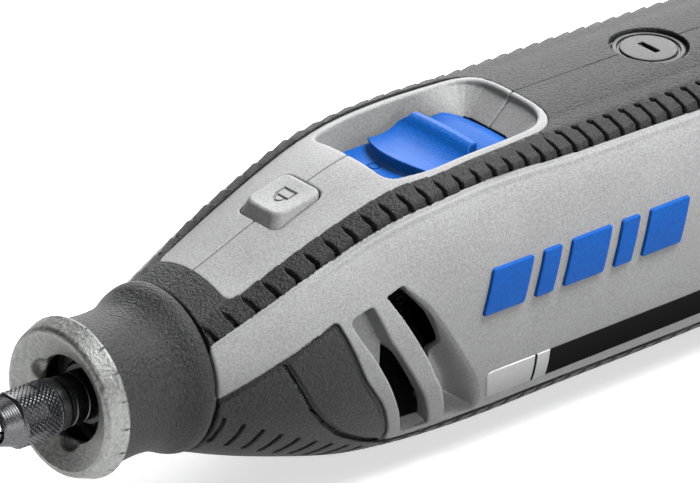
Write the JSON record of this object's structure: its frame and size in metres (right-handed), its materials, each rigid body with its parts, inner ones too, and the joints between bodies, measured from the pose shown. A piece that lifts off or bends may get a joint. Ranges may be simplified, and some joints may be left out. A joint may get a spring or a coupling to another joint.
{
  "type": "rotary hobby tool",
  "caption": "Hand-held mains rotary tool: collet nose, screw-off nose cap with wrench ring, soft-grip clamshell, motor, slide switch, shaft lock, speed dial and hanger.",
  "frame": {"origin": "centre of the collet's mouth, on the spindle line", "axes": "-X along the spindle, out of the collet; +X towards the tail; +Z towards the switch side; the clamshell splits on the plane y = 0"},
  "size_m": [0.2275, 0.0507, 0.0547],
  "materials": {
    "grey_nylon": "fine matt spark texture",
    "grip_rubber": "leather-grained soft grip",
    "black_plastic": "matt moulded",
    "blue_plastic": "satin moulded",
    "steel": "ground",
    "spring_steel": "drawn wire",
    "blackened_steel": "oil blackened",
    "lamination": "stacked sheet",
    "copper_wire": "enamelled",
    "brass": "folded sheet",
    "carbon": "pressed",
    "cast_zinc": "granular die casting",
    "insert_nylon": "natural nylon",
    "circuit_board": "solder mask",
    "band_film": "printed film"
  },
  "bodies": {
    "housing": {"field_stack": "lamination", "field_coil_upper": "copper_wire", "field_coil_lower": "copper_wire", "brush_holder_upper": "brass", "brush_holder_lower": "brass", "nose_carrier": "cast_zinc", "bearing_circlip": "spring_steel", "housing_left": "grey_nylon", "housing_right": "grey_nylon", "upper_grip_left": "grip_rubber", "upper_grip_right": "grip_rubber", "lower_grip_left": "grip_rubber", "lower_grip_right": "grip_rubber", "rear_cap": "black_plastic", "cord_gland": "grip_rubber", "switch_module": "black_plastic", "lock_spring": "spring_steel", "speed_control": "black_plastic", "control_board": "circuit_board", "housing_screws": "steel", "side_badge_left": "blue_plastic", "side_badge_right": "blue_plastic", "side_band_left": "band_film", "side_band_right": "band_film", "rear_bearing_sleeve": "grip_rubber", "front_bearing_outer_race": "steel", "front_bearing_balls": "steel", "mid_bearing_outer_race": "steel", "mid_bearing_balls": "steel", "rear_bearing_outer_race": "steel", "rear_bearing_balls": "steel"},
    "rotor": {"spindle": "blackened_steel", "dust_seal": "black_plastic", "drive_coupling": "black_plastic", "armature_shaft": "steel", "armature_core": "lamination", "armature_windings": "copper_wire", "commutator": "copper_wire", "fan": "black_plastic", "front_bearing_inner_race": "steel", "mid_bearing_inner_race": "steel", "rear_bearing_inner_race": "steel"},
    "collet": {"collet": "steel"},
    "collet_nut": {"collet_nut": "blackened_steel"},
    "cap_thread": {"nose_cap_insert": "insert_nylon"},
    "nose_cap": {"nose_cap": "grip_rubber", "wrench_ring": "cast_zinc"},
    "lock_button": {"lock_button": "grey_nylon", "lock_pin": "steel"},
    "power_switch": {"switch_slider": "blue_plastic", "switch_link": "black_plastic"},
    "speed_dial": {"speed_dial": "blue_plastic"},
    "brush_cap_upper": {"brush_cap_upper": "black_plastic", "brush_spring_upper": "spring_steel", "carbon_brush_upper": "carbon"},
    "brush_cap_lower": {"brush_cap_lower": "black_plastic", "brush_spring_lower": "spring_steel", "carbon_brush_lower": "carbon"},
    "hanger_bail": {"hanger_bail": "steel"}
  },
  "joints": [
    {"name": "spindle_spin", "type": "hinge", "parent": "housing", "child": "rotor", "pos_m": [0.05, 0, 0], "axis": [1, 0, 0], "continuous": true},
    {"name": "collet_slide", "type": "slide", "parent": "rotor", "child": "collet", "axis": [-1, 0, 0], "range_m": [0, 0.0026]},
    {"name": "nut_turn", "type": "hinge", "parent": "collet", "child": "collet_nut", "pos_m": [0.008, 0, 0], "axis": [-1, 0, 0], "range_deg": [0, 1440]},
    {"name": "cap_advance", "type": "slide", "parent": "housing", "child": "cap_thread", "axis": [-1, 0, 0], "range_m": [0, 0.015]},
    {"name": "cap_turn", "type": "hinge", "parent": "cap_thread", "child": "nose_cap", "pos_m": [0.03, 0, 0], "axis": [-1, 0, 0], "range_deg": [0, 2520]},
    {"name": "lock_press", "type": "slide", "parent": "housing", "child": "lock_button", "axis": [0, 0, -1], "range_m": [0, 0.003], "stiffness_N_per_m": 800, "springref_m": -0.003, "deforming": ["lock_spring"]},
    {"name": "switch_slide", "type": "slide", "parent": "housing", "child": "power_switch", "axis": [-1, 0, 0], "range_m": [0, 0.006]},
    {"name": "dial_turn", "type": "hinge", "parent": "housing", "child": "speed_dial", "pos_m": [0.196, 0, 0.0194], "axis": [0, 1, 0], "range_deg": [0, 270]},
    {"name": "brush_upper_out", "type": "slide", "parent": "housing", "child": "brush_cap_upper", "axis": [0, 0, 1], "range_m": [0, 0.018]},
    {"name": "brush_lower_out", "type": "slide", "parent": "housing", "child": "brush_cap_lower", "axis": [0, 0, -1], "range_m": [0, 0.018]},
    {"name": "hanger_swing", "type": "hinge", "parent": "housing", "child": "hanger_bail", "pos_m": [0.2253, 0, 0.0125], "axis": [0, -1, 0], "range_deg": [0, 170]}
  ],
  "couplings": [
    {"joint": "collet_slide", "follows": "nut_turn", "m_per_rad": 0.00010106},
    {"joint": "cap_advance", "follows": "cap_turn", "m_per_rad": 0.00033693}
  ]
}
